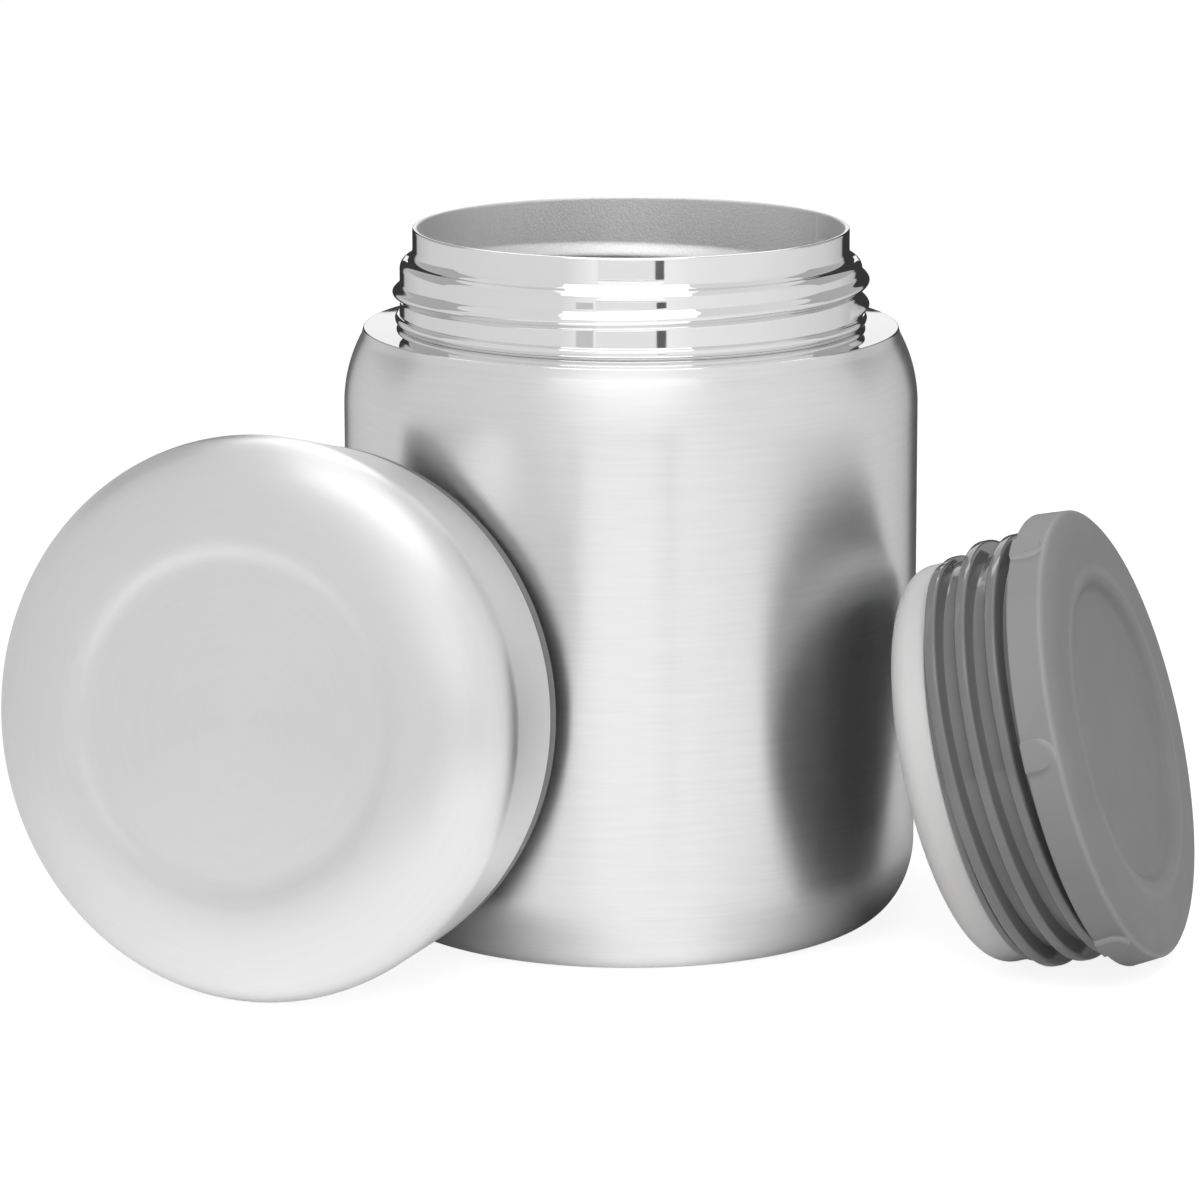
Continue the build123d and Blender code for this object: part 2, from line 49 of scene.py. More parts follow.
# ------------------------------------------------- outlines, as (radius, height) in millimetres
def arc(centre, radius, start, end, count=8):
    """Points along a circular arc."""
    angles = np.radians(np.linspace(start, end, count + 1))
    return [(centre[0] + radius * math.cos(a), centre[1] + radius * math.sin(a)) for a in angles]


def oval(centre, across, up, start, end, count=20):
    """Points along an elliptical arc."""
    angles = np.radians(np.linspace(start, end, count + 1))
    return [(centre[0] + across * math.cos(a), centre[1] + up * math.sin(a)) for a in angles]


def double_bend(start, end, count=10):
    """Two equal arcs that join two upright walls of different radius."""
    half_out, half_up = (end[0] - start[0]) / 2, (end[1] - start[1]) / 2
    out, up = math.copysign(1, half_out), math.copysign(1, half_up)
    radius = (half_out ** 2 + half_up ** 2) / (2 * abs(half_out))
    turn = 2 * math.atan2(abs(half_out), abs(half_up))
    steps = np.linspace(0, turn, count + 1)
    bend = [(out * radius * (1 - math.cos(t)), up * radius * math.sin(t)) for t in steps]
    first = [(start[0] + x, start[1] + y) for x, y in bend]
    last = [(end[0] - x, end[1] - y) for x, y in reversed(bend)]
    return first + last[1:]


def dish_bend(start, drop, radius, count=8):
    """Double bend from one flat down to a lower flat nearer the axis."""
    turn = math.acos(1 - drop / 2 / radius)
    run = 2 * radius * math.sin(turn)
    steps = np.linspace(0, turn, count + 1)
    bend = [(radius * math.sin(t), radius * (1 - math.cos(t))) for t in steps]
    first = [(start[0] - x, start[1] - y) for x, y in bend]
    last = [(start[0] - run + x, start[1] - drop + y) for x, y in reversed(bend)]
    return first + last[1:]


def rounded(*corners, count=4):
    """A line through the corners. A third number on a corner rounds it with that radius."""
    line = []
    for index, corner in enumerate(corners):
        here = Vector(corner[:2])
        if len(corner) < 3 or index in (0, len(corners) - 1):
            line.append(tuple(here))
            continue
        before = (Vector(corners[index - 1][:2]) - here).normalized()
        after = (Vector(corners[index + 1][:2]) - here).normalized()
        half = math.acos(max(-1.0, min(1.0, before.dot(after)))) / 2
        reach = corner[2] / math.tan(half)
        centre = here + (before + after).normalized() * corner[2] / math.sin(half)
        first, last = here + before * reach - centre, here + after * reach - centre
        for step in range(count + 1):
            share = step / count
            spoke = first.lerp(last, share).normalized() * corner[2]
            line.append(tuple(centre + spoke))
    return line


def stretch(start, end, step=0.15):
    """Points along a straight wall, close enough together to carry a thread."""
    count = max(2, int(math.dist(start, end) / step))
    return [tuple(p) for p in np.linspace(start, end, count + 1)]


def without_repeats(outline):
    """The outline without points that repeat the one before them."""
    kept = [outline[0]]
    for point in outline[1:]:
        if math.dist(point, kept[-1]) > SAME_POINT:
            kept.append(point)
    if math.dist(kept[0], kept[-1]) < SAME_POINT:
        kept.pop()
    return kept


# ------------------------------------------------- meshes
CREASE = 40     # degrees above which an edge is sharp


def finish_mesh(name, verts, faces, crease):
    """Mesh with smooth faces and sharp edges above the crease angle."""
    mesh = bpy.data.meshes.new(name)
    mesh.from_pydata(verts, [], faces)
    mesh.update()
    mesh.polygons.foreach_set("use_smooth", [True] * len(mesh.polygons))
    mesh.set_sharp_from_angle(angle=math.radians(crease))
    return mesh


def turned(name, outline, steps=360, lift=None, crease=CREASE):
    """Mesh turned about Z from a closed outline. lift(angles, radius, height) pushes points outward."""
    outline = without_repeats(outline)
    closed = outline[0][0] > ON_AXIS or outline[-1][0] > ON_AXIS
    rounds = np.linspace(0, 2 * math.pi, steps, endpoint=False)
    verts, rows = [], []
    for radius, height in outline:
        first = len(verts)
        if radius < ON_AXIS:
            verts.append((0, 0, height * MM))
            rows.append([first] * steps)
            continue
        spread = radius + (lift(rounds, radius, height) if lift else 0 * rounds)
        verts += zip(spread * np.cos(rounds) * MM, spread * np.sin(rounds) * MM, [height * MM] * steps)
        rows.append(list(range(first, first + steps)))
    if closed:
        rows.append(rows[0])
    points = np.array(outline)
    ahead = np.roll(points, -1, axis=0)
    anticlockwise = np.sum(points[:, 0] * ahead[:, 1] - ahead[:, 0] * points[:, 1]) > 0
    faces = []
    for low, high in zip(rows, rows[1:]):
        for j in range(steps):
            k = (j + 1) % steps
            quad = [low[j], low[k], high[k], high[j]] if anticlockwise else [low[j], high[j], high[k], low[k]]
            face = list(dict.fromkeys(quad))
            if len(face) > 2:
                faces.append(face)
    return finish_mesh(name, verts, faces, crease)


def wound(name, section, pitch, turns, start_angle, start_height):
    """Closed thread ridge: a section of (radius, up) points wound round Z, faded out at both ends.

    The section starts at its root, and at its ends it keeps tip_height of its height and
    tip_width of its width.
    """
    run_out, tip_height, tip_width, steps_per_turn = 25, 0.02, 0.35, 120
    count = int(steps_per_turn * turns)
    total = 360 * turns
    root = section[0][0]
    verts, faces = [], []
    size = len(section)
    for index in range(count + 1):
        swept = total * index / count
        near = min(swept, total - swept) / run_out
        share = math.sin(min(near, 1.0) * math.pi / 2) ** 0.5 if near > 0 else tip_height
        angle = math.radians(start_angle + swept)
        middle = start_height + pitch * swept / 360
        for out, up in section:
            radius = root + (out - root) * share
            height = middle + up * (tip_width + (1 - tip_width) * share)
            verts.append((radius * math.cos(angle) * MM, radius * math.sin(angle) * MM, height * MM))
    for index in range(count):
        base, ahead = index * size, (index + 1) * size
        for k in range(size):
            m = (k + 1) % size
            faces.append([base + k, base + m, ahead + m, ahead + k])
    faces.append(list(range(size)))
    faces.append([count * size + k for k in range(size)][::-1])
    return finish_mesh(name, verts, faces, CREASE)


def joined(name, *meshes):
    """One mesh that holds several closed ones."""
    verts, faces = [], []
    for mesh in meshes:
        first = len(verts)
        verts += [tuple(v.co) for v in mesh.vertices]
        faces += [[first + i for i in p.vertices] for p in mesh.polygons]
        bpy.data.meshes.remove(mesh)
    return finish_mesh(name, verts, faces, CREASE)


def outward(mesh):
    """Turns every face of a closed mesh outward."""
    work = bmesh.new()
    work.from_mesh(mesh)
    bmesh.ops.recalc_face_normals(work, faces=work.faces)
    work.to_mesh(mesh)
    work.free()
    return mesh


def place(mesh, body, node, slot, *materials, where=None):
    """Puts a piece where its CAD node is, to move with its body."""
    piece = bpy.data.objects.new(mesh.name, mesh)
    bpy.context.scene.collection.objects.link(piece)
    if where:
        mesh.transform(where)
    for material in materials:
        mesh.materials.append(material)
    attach(piece, body)
    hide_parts(node)


# ------------------------------------------------- frames of the two pieces on their sides
def lying(origin, face):
    """Frame of a piece on its side: z towards its face, x as near to straight up as can be."""
    face = Vector(face).normalized()
    up = (Vector((0, 0, 1)) - face * face.z).normalized()
    side = face.cross(up)
    matrix = Matrix((up, side, face)).transposed().to_4x4()
    matrix.translation = Vector(origin)
    return matrix


TURNING = next(joint for joint in frame["joints"] if joint["name"] == "stopper_turn")
STOPPER = lying(TURNING["pos_m"], TURNING["axis"])
LID_OPENING = (-0.052706, -0.035658, 0.043672)      # middle of the liner's foot, in metres
LID_FACING = (-0.384630, -0.914997, 0.121818)
LID = lying(LID_OPENING, LID_FACING)


# ------------------------------------------------- sizes, in millimetres
STEEL = 0.4                 # sheet of both walls of the jar
BODY_RADIUS = 49.0
BODY_TOP = 89.4             # where the shoulder starts to draw in
SHOULDER_ARC = 24.4
SHOULDER_END = 46.0         # radius where the shoulder's arc ends
CORNER_ACROSS, CORNER_UP = 9.8, 13.6
FOOT_ROLL = 1.2             # radius of the roll from the foot ring up into the base
FOOT_RADIUS = 37.8
FLANGE_TOP = 4.2            # upper edge of the flange inside the foot
SEAT_HEIGHT = 103.0
SEAT_RADIUS = 45.62         # outer edge of the ring that carries the lid
SEAT_DROP = 0.5
NECK_RADIUS = 39.4
NECK_TOP = 112.5
BEAD_RADIUS, BEAD_HEIGHT = 0.85, 104.0
LIP_RADIUS = 37.2
LIP_FOOT = 115.9
RIM_HEIGHT = 119.5
RIM_ROLL = 0.4
RIM_RADIUS = LIP_RADIUS - RIM_ROLL

MOUTH_RADIUS = RIM_RADIUS - RIM_ROLL
SEAM_FOOT = 102.0           # lower end of the weld's dressed seam
MOUTH_FOOT = 101.77         # where the seal's conical seat starts
SEAL_SEAT_RISE = 4.2        # of its cone, as much across as up
THROAT_RADIUS = MOUTH_RADIUS - SEAL_SEAT_RISE
THROAT_FOOT = 95.57
VESSEL_TOP = THROAT_FOOT - 15.0
VESSEL_RADIUS = 44.6
CUP_TOP = 22.0              # weld between cup and tube
CUP_CORNER = 13.0
CUP_FLOOR = 8.5

LID_STEEL = 0.5
CROWN_RADIUS, CROWN_HEIGHT = 30.8, 21.7     # centre of the crown's quarter ellipse
CROWN_ACROSS, CROWN_UP = 15.7, 9.8
CROWN_START = -4.381        # in degrees, where the tapered wall meets the ellipse
DISH_DEPTH, DISH_BEND = 1.0, 8.0
LINER_FOOT = 3.4            # height of the ring that shows past the steel
LINER_RADIUS, LINER_LAND, LINER_WALL = 44.0, 43.75, 43.1
LINER_BORE = 41.3
LINER_TOP = 26.4
LINER_PLATE = 1.6

KNOB_FOOT = 22.7
KNOB_RADIUS, KNOB_TOP_RADIUS = 38.5, 37.9
KNOB_FLAT = 29.9            # height of the ring round the dish
KNOB_DISH = 26.9
LUG_COUNT = 6
LUG_START = 22.0            # angle of the first, in degrees
LUG_RADIUS = KNOB_RADIUS
LUG_WIDTH = 5.1
LUG_END = KNOB_FOOT + LUG_WIDTH / 2     # height of the middle of a lug's round end
LUG_RISE = 0.8
PLUG_FOOT = 6.9
PLUG_FLANGE = 34.6
PLUG_ROOT = 33.3            # foot of the plug's thread
PLUG_CREST = 36.1
PLUG_BORE = 30.2
SEAL_RADIUS, SEAL_CORNER = 34.0, 3.4


# ------------------------------------------------- shader groups
def new_group(name, inputs, outputs):
    """Empty shader node group with named number or vector inputs, its outputs, and its two end nodes."""
    tree = bpy.data.node_groups.new(name, "ShaderNodeTree")
    for label, value in inputs.items():
        kind = "NodeSocketVector" if isinstance(value, tuple) else "NodeSocketFloat"
        socket = tree.interface.new_socket(name=label, in_out="INPUT", socket_type=kind)
        socket.default_value = value
    for label in outputs:
        tree.interface.new_socket(name=label, in_out="OUTPUT", socket_type="NodeSocketFloat")
    return tree, tree.nodes.new("NodeGroupInput"), tree.nodes.new("NodeGroupOutput")


def give(tree, socket, value):
    """Sets a socket to a number, or links another socket to it."""
    if isinstance(value, (int, float)):
        socket.default_value = value
    else:
        tree.links.new(value, socket)


def math_node(tree, operation, *operands):
    """A math node; each operand is a number or a socket."""
    node = tree.nodes.new("ShaderNodeMath")
    node.operation = operation
    for socket, value in zip(node.inputs, operands):
        give(tree, socket, value)
    return node.outputs[0]


def product(tree, *factors):
    """Product of numbers and sockets, the first of which is a socket."""
    result = factors[0]
    for factor in factors[1:]:
        result = math_node(tree, "MULTIPLY", result, factor)
    return result


def blend_of(tree, first, second, share):
    """Share of the first value and the rest of the second."""
    return math_node(tree, "ADD", product(tree, first, share), product(tree, second, 1.0 - share))


def length_of(tree, first, second):
    """Length of two legs at a right angle."""
    return math_node(tree, "SQRT", math_node(
        tree, "ADD", product(tree, first, first), product(tree, second, second)))


def clamped(socket):
    """The socket of a math node, held between 0 and 1."""
    socket.node.use_clamp = True
    return socket


def split_vector(tree, vector):
    """The three parts of a vector."""
    node = tree.nodes.new("ShaderNodeSeparateXYZ")
    tree.links.new(vector, node.inputs[0])
    return node.outputs


def joined_vector(tree, *parts):
    """Vector from its parts; those left out are 0."""
    node = tree.nodes.new("ShaderNodeCombineXYZ")
    for part, socket in zip(parts, node.inputs):
        tree.links.new(part, socket)
    return node.outputs[0]


def object_place(tree):
    """Place on a piece, in metres."""
    return tree.nodes.new("ShaderNodeTexCoord").outputs["Object"]


def noise_node(tree, vector, scale, detail, roughness):
    """Noise value at a vector. The scale is a number or a socket."""
    node = tree.nodes.new("ShaderNodeTexNoise")
    node.inputs["Detail"].default_value = detail
    node.inputs["Roughness"].default_value = roughness
    tree.links.new(vector, node.inputs["Vector"])
    give(tree, node.inputs["Scale"], scale)
    return node.outputs["Fac"]


def brush_lines_group():
    """Fine lines that run round the axis, as a rotating piece is brushed."""
    tree, given, result = new_group(
        "brush lines", {"Lines per metre": 9000.0, "Streak length": 3.0, "Spot": (0, 0, 0)},
        ["Lines", "Streaks"])
    streaks_per_line, axis_gap = 0.12, 0.0005
    x, y, z = split_vector(tree, given.outputs["Spot"])
    across = length_of(tree, x, y)
    safe = math_node(tree, "MAXIMUM", across, axis_gap)
    along = math_node(tree, "SUBTRACT", across, z)
    for label, share in (("Lines", 1.0), ("Streaks", streaks_per_line)):
        spot = joined_vector(
            tree, *(product(tree, math_node(tree, "DIVIDE", part, safe), given.outputs["Streak length"])
                    for part in (x, y)),
            product(tree, along, product(tree, given.outputs["Lines per metre"], share)))
        tree.links.new(noise_node(tree, spot, 1.0, detail=4.0, roughness=0.65), result.inputs[label])
    return tree


def speckle_group():
    """Mottled grain of a blasted, etched or spark-eroded surface."""
    tree, given, result = new_group("speckle", {"Grains per metre": 2500.0}, ["Grain", "Cloud"])
    clouds_per_grain = 0.02
    spot = object_place(tree)
    grains = given.outputs["Grains per metre"]
    tree.links.new(noise_node(tree, spot, grains, detail=5.0, roughness=0.7), result.inputs["Grain"])
    clouds = product(tree, grains, clouds_per_grain)
    tree.links.new(noise_node(tree, spot, clouds, detail=3.0, roughness=0.5), result.inputs["Cloud"])
    return tree


def handling_group():
    """Faint smears and dust from handling."""
    tree, given, result = new_group("handling marks", {"Smears per metre": 60.0}, ["Smears", "Dust"])
    specks_per_metre, dust_floor, dust_contrast, dust_softness = 5200.0, 0.74, 12.0, 0.05
    spot = object_place(tree)
    smears = noise_node(tree, spot, given.outputs["Smears per metre"], detail=6.0, roughness=0.62)
    tree.links.new(smears, result.inputs["Smears"])
    specks = noise_node(tree, spot, specks_per_metre, detail=1.0, roughness=0.5)
    dust = product(tree, math_node(tree, "SUBTRACT", specks, dust_floor), dust_contrast)
    dust = math_node(tree, "MAXIMUM", dust, 0.0)
    tree.links.new(math_node(tree, "SMOOTH_MIN", dust, 1.0, dust_softness), result.inputs["Dust"])
    return tree


BRUSH = brush_lines_group()
SPECKLE = speckle_group()
HANDLING = handling_group()


def use_group(tree, group, **values):
    """Places a shader group in a material with its own values."""
    node = tree.nodes.new("ShaderNodeGroup")
    node.node_tree = group
    for label, value in values.items():
        give(tree, node.inputs[label.replace("_", " ")], value)
    return node.outputs


NOISE_RANGE = (0.25, 0.75)      # where nearly all of a noise's values lie


def span(tree, value, low, high):
    """Maps a noise value onto low to high."""
    node = tree.nodes.new("ShaderNodeMapRange")
    tree.links.new(value, node.inputs["Value"])
    node.inputs["From Min"].default_value, node.inputs["From Max"].default_value = NOISE_RANGE
    node.inputs["To Min"].default_value = low
    node.inputs["To Max"].default_value = high
    return node.outputs["Result"]


def shade(tree, value, dark, light):
    """Maps a noise value onto two colours."""
    node = tree.nodes.new("ShaderNodeMix")
    node.data_type = "RGBA"
    tree.links.new(span(tree, value, 0.0, 1.0), node.inputs["Factor"])
    node.inputs["A"].default_value = (*dark, 1)
    node.inputs["B"].default_value = (*light, 1)
    return node.outputs["Result"]


def relief(tree, height, distance, strength=1.0):
    """Bumped normal from a height of 0 to 1 that stands for a distance in metres."""
    node = tree.nodes.new("ShaderNodeBump")
    node.inputs["Strength"].default_value = strength
    node.inputs["Distance"].default_value = distance
    tree.links.new(height, node.inputs["Height"])
    return node.outputs["Normal"]


def new_material(name):
    """Material with its tree and its Principled shader."""
    material = bpy.data.materials.new(name)
    material.use_nodes = True
    tree = material.node_tree
    shader = next(n for n in tree.nodes if n.type == "BSDF_PRINCIPLED")
    return material, tree, shader


def mapped(tree, vector, kind, axes):
    """A vector turned by a piece's own frame: out of it for VECTOR, into it for TEXTURE."""
    node = tree.nodes.new("ShaderNodeMapping")
    node.vector_type = kind
    tree.links.new(vector, node.inputs["Vector"])
    node.inputs["Rotation"].default_value = axes.to_euler()
    if kind == "TEXTURE":
        node.inputs["Location"].default_value = axes.translation
    return node.outputs[0]


def own_spot(tree, axes=None):
    """Place on a piece, from its own axis where it lies on its side."""
    spot = object_place(tree)
    return mapped(tree, spot, "TEXTURE", axes) if axes else spot


def way_round(tree, axes):
    """Direction round the axis of a piece on its side."""
    x, y, _ = split_vector(tree, own_spot(tree, axes))
    unit = tree.nodes.new("ShaderNodeVectorMath")
    unit.operation = "NORMALIZE"
    tree.links.new(joined_vector(tree, product(tree, y, -1.0), x), unit.inputs[0])
    turn = tree.nodes.new("ShaderNodeVectorTransform")
    turn.vector_type = "VECTOR"
    turn.convert_from = "OBJECT"
    turn.convert_to = "WORLD"
    tree.links.new(mapped(tree, unit.outputs[0], "VECTOR", axes), turn.inputs[0])
    return turn.outputs[0]


def round_tangent(tree, shader, amount, axes=None):
    """Stretches the gloss across the lines that run round the axis."""
    quarter_turn = 0.25
    if axes:
        way = way_round(tree, axes)
    else:
        tangent = tree.nodes.new("ShaderNodeTangent")
        tangent.direction_type = "RADIAL"
        tangent.axis = "Z"
        way = tangent.outputs[0]
    tree.links.new(way, shader.inputs["Tangent"])
    shader.inputs["Anisotropic"].default_value = amount
    shader.inputs["Anisotropic Rotation"].default_value = quarter_turn


def brushed_steel(name, dark, light, rough, stretched=0.8, lines=9000.0, depth=4e-6, axes=None):
    """Steel brushed round its axis. Lines are counted per metre."""
    material, tree, shader = new_material(name)
    brush = use_group(tree, BRUSH, Lines_per_metre=lines, Streak_length=3.0, Spot=own_spot(tree, axes))
    marks = use_group(tree, HANDLING, Smears_per_metre=45.0)
    mixed = blend_of(tree, brush["Lines"], brush["Streaks"], 0.5)
    tree.links.new(shade(tree, mixed, dark, light), shader.inputs["Base Color"])
    worn = blend_of(tree, mixed, marks["Smears"], 0.75)
    tree.links.new(span(tree, worn, *rough), shader.inputs["Roughness"])
    tree.links.new(relief(tree, brush["Lines"], depth), shader.inputs["Normal"])
    shader.inputs["Metallic"].default_value = 1.0
    round_tangent(tree, shader, stretched, axes)
    return material


def polished_metal(name, colour, rough):
    """Bright metal with faint handling marks."""
    material, tree, shader = new_material(name)
    marks = use_group(tree, HANDLING, Smears_per_metre=70.0)
    smeared = tuple(part * 0.96 for part in colour)
    tree.links.new(shade(tree, marks["Smears"], smeared, colour), shader.inputs["Base Color"])
    tree.links.new(span(tree, marks["Smears"], *rough), shader.inputs["Roughness"])
    tree.links.new(relief(tree, marks["Smears"], 4e-6, strength=0.3), shader.inputs["Normal"])
    shader.inputs["Metallic"].default_value = 1.0
    return material


def etched_metal(name, dark, light, rough, stretched=0.0, grains=2600.0):
    """Metal with a speckled satin. Grains are counted per metre."""
    material, tree, shader = new_material(name)
    grain = use_group(tree, SPECKLE, Grains_per_metre=grains)
    mixed = blend_of(tree, grain["Grain"], grain["Cloud"], 0.6)
    tree.links.new(shade(tree, mixed, dark, light), shader.inputs["Base Color"])
    tree.links.new(span(tree, mixed, *rough), shader.inputs["Roughness"])
    tree.links.new(relief(tree, grain["Grain"], 8e-5), shader.inputs["Normal"])
    shader.inputs["Metallic"].default_value = 1.0
    round_tangent(tree, shader, stretched)
    return material


def moulded_plastic(name, dark, light, rough, grains, depth, coat=0.0):
    """Moulded plastic with a grained or glossy skin and a little dust."""
    material, tree, shader = new_material(name)
    grain = use_group(tree, SPECKLE, Grains_per_metre=grains)
    marks = use_group(tree, HANDLING, Smears_per_metre=80.0)
    clouded = blend_of(tree, grain["Cloud"], marks["Dust"], 0.7)
    tree.links.new(shade(tree, clouded, dark, light), shader.inputs["Base Color"])
    mixed = blend_of(tree, grain["Grain"], marks["Smears"], 0.4)
    tree.links.new(span(tree, mixed, *rough), shader.inputs["Roughness"])
    tree.links.new(relief(tree, grain["Grain"], depth), shader.inputs["Normal"])
    shader.inputs["Coat Weight"].default_value = coat
    shader.inputs["Coat Roughness"].default_value = 0.05
    return material


def lighten(material, mask, gain):
    """Lightens a material's colour, by up to gain where the mask is 1."""
    tree = material.node_tree
    base = tree.nodes["Principled BSDF"].inputs["Base Color"]
    add = tree.nodes.new("ShaderNodeVectorMath")
    add.operation = "ADD"
    tree.links.new(base.links[0].from_socket, add.inputs[0])
    tree.links.new(product(tree, mask, gain), add.inputs[1])
    tree.links.new(add.outputs[0], base)


def fade_from(tree, gap, reach):
    """1 where the gap is nothing, fading to 0 at the reach."""
    return clamped(math_node(tree, "MULTIPLY_ADD", gap, -1 / reach, 1.0))


def painted_edge_light(material, radius, height, reach, gain, axes):
    """Paints a highlight along a round edge, given in millimetres. A gain below 0 paints shade into a corner.
    """
    tree = material.node_tree
    x, y, z = split_vector(tree, own_spot(tree, axes))
    out = math_node(tree, "SUBTRACT", length_of(tree, x, y), radius * MM)
    up = math_node(tree, "SUBTRACT", z, height * MM)
    lighten(material, fade_from(tree, length_of(tree, out, up), reach * MM), gain)


def painted_lug_highlights(material, reach, gain, axes):
    """Paints highlights along the edges of the grip lugs round the knob."""
    tree = material.node_tree
    x, y, z = split_vector(tree, own_spot(tree, axes))
    half_pitch = math.pi / LUG_COUNT
    angle = math_node(tree, "SUBTRACT", math_node(tree, "ARCTAN2", y, x), math.radians(LUG_START))
    aside = product(tree, math_node(tree, "WRAP", angle, half_pitch, -half_pitch), LUG_RADIUS * MM)
    above = math_node(tree, "MAXIMUM", math_node(tree, "SUBTRACT", z, LUG_END * MM), 0.0)
    past_edge = math_node(tree, "SUBTRACT", length_of(tree, aside, above), LUG_WIDTH / 2 * MM)
    outer = math_node(tree, "GREATER_THAN", length_of(tree, x, y), KNOB_TOP_RADIUS * MM)
    edge = fade_from(tree, math_node(tree, "ABSOLUTE", past_edge), reach * MM)
    lighten(material, product(tree, edge, outer), gain)


BODY_BRUSH = brushed_steel("brushed body steel", (0.74, 0.74, 0.745), (0.84, 0.84, 0.845), (0.26, 0.36))
LID_BRUSH = brushed_steel(
    "brushed lid steel", (0.74, 0.74, 0.745), (0.785, 0.785, 0.79), (0.33, 0.4),
    stretched=0.5, lines=7000.0, axes=LID)
SHEET_STEEL = brushed_steel(
    "plain sheet steel", (0.5, 0.5, 0.51), (0.62, 0.62, 0.63), (0.3, 0.45), stretched=0.3, lines=5000.0)
NECK_POLISH = polished_metal("polished neck steel", (0.86, 0.86, 0.865), (0.03, 0.07))
COPPER = polished_metal("bright copper foil", (0.85, 0.5, 0.36), (0.12, 0.3))
MOUTH_SATIN = etched_metal(
    "etched mouth steel", (0.68, 0.68, 0.68), (0.92, 0.92, 0.92), (0.3, 0.44), stretched=0.6)
GETTER = etched_metal("sintered getter", (0.12, 0.12, 0.12), (0.22, 0.22, 0.22), (0.6, 0.8), grains=4000.0)
SOLDER = moulded_plastic("solder glass", (0.03, 0.035, 0.04), (0.06, 0.065, 0.07), (0.15, 0.3), 3000.0, 1e-5)
TAPE = moulded_plastic("adhesive tape", (0.7, 0.7, 0.66), (0.8, 0.8, 0.77), (0.7, 0.9), 3000.0, 2e-5)
FOAM = moulded_plastic("closed cell foam", (0.8, 0.8, 0.76), (0.9, 0.9, 0.87), (0.8, 0.95), 900.0, 2e-4)
LINER = moulded_plastic("liner plastic", (0.13, 0.13, 0.135), (0.16, 0.16, 0.165), (0.3, 0.4), 4000.0, 6e-6)
PLUG = moulded_plastic(
    "glossy plug plastic", (0.138, 0.138, 0.14), (0.154, 0.154, 0.156), (0.1, 0.16), 3000.0, 2e-6, coat=0.5)
KNOB = moulded_plastic(
    "matte knob plastic", (0.197, 0.197, 0.2), (0.222, 0.222, 0.225), (0.5, 0.62), 5200.0, 2e-5)
# painted highlight along the crisp edge between the knob's side and face
painted_edge_light(KNOB, 37.85, 28.35, 0.75, 0.065, STOPPER)     # between side and face
# painted highlight on the lip of the knob's dish
painted_edge_light(KNOB, 27.7, 29.9, 1.2, 0.03, STOPPER)         # lip of the dish
# painted shade in the corner at the foot of the knob's dish
painted_edge_light(KNOB, 25.2, 28.5, 1.6, -0.05, STOPPER)        # corner at the foot of the dish
# painted highlights along the edges of the grip lugs
painted_lug_highlights(KNOB, 0.4, 0.07, STOPPER)
SILICONE = moulded_plastic(
    "pale silicone", (0.53, 0.53, 0.525), (0.59, 0.59, 0.585), (0.35, 0.5), 3000.0, 4e-6)
SILICONE_SHADER = SILICONE.node_tree.nodes["Principled BSDF"].inputs
SILICONE_SHADER["Subsurface Weight"].default_value = 0.25
SILICONE_SHADER["Subsurface Scale"].default_value = 0.002


# ------------------------------------------------- jar
def swell(height, middle, half_width):
    """Smooth bump of height 1 across half_width each side of its middle."""
    t = np.clip(np.abs(height - middle) / half_width, 0, 1)
    return 0.5 + 0.5 * np.cos(math.pi * t)


def helix_lift(angles, height, top_angle, top_height, pitch, turns, above, below, rise, fade=16.0):
    """Outward push of a rolled thread whose upper end is at top_angle and top_height.

    It swells from below its middle to above it, and fades over an angle at both ends.
    """
    pushed = np.zeros_like(angles)
    for turn in range(-1, int(turns) + 2):
        back = math.radians(top_angle) - angles + 2 * math.pi * turn
        middle = top_height - pitch * back / (2 * math.pi)
        ends = np.minimum(back, math.radians(360 * turns) - back) / math.radians(fade)
        share = np.sin(np.clip(ends, 0, 1) * math.pi / 2)
        reach = np.where(height > middle, above, below)
        pushed = np.maximum(pushed, rise * share * swell(height, middle, reach))
    return pushed


def from_bearing(angles, bearing):
    """Angles from a bearing, in radians either way."""
    return np.mod(angles - bearing + math.pi, 2 * math.pi) - math.pi


def neck_lift(angles, radius, height):
    """Rolled thread on the outside of the neck."""
    if radius < NECK_RADIUS - 0.2 or not SEAT_HEIGHT + 0.5 < height < NECK_TOP + 1:
        return np.zeros_like(angles)
    return helix_lift(angles, height, top_angle=26.0, top_height=110.9, pitch=4.2, turns=1.13,
                      above=1.75, below=1.75, rise=1.25)


def mouth_lift(angles, radius, height):
    """Rolled thread on the inside of the mouth, and the dressed weld that runs down the tube."""
    if radius > MOUTH_RADIUS + 0.05 or height < SEAM_FOOT:
        return np.zeros_like(angles)
    thread = helix_lift(angles, height, top_angle=194.0, top_height=110.6, pitch=5.2, turns=1.32,
                        above=2.4, below=1.7, rise=1.0)
    # the seam's bearing in degrees, its sizes in millimetres
    bearing, rise, bead_half, groove_half, groove_aside, groove_share = 28.5, 0.05, 0.3, 0.35, -0.8, 0.6
    seam_top, seam_fade = 119.0, 0.6
    aside = MOUTH_RADIUS * from_bearing(angles, math.radians(bearing))
    groove = groove_share * np.exp(-((aside - groove_aside) / groove_half) ** 2)
    seam = np.exp(-(aside / bead_half) ** 2) - groove
    return -thread - rise * seam * np.clip((seam_top - height) / seam_fade, 0, 1)


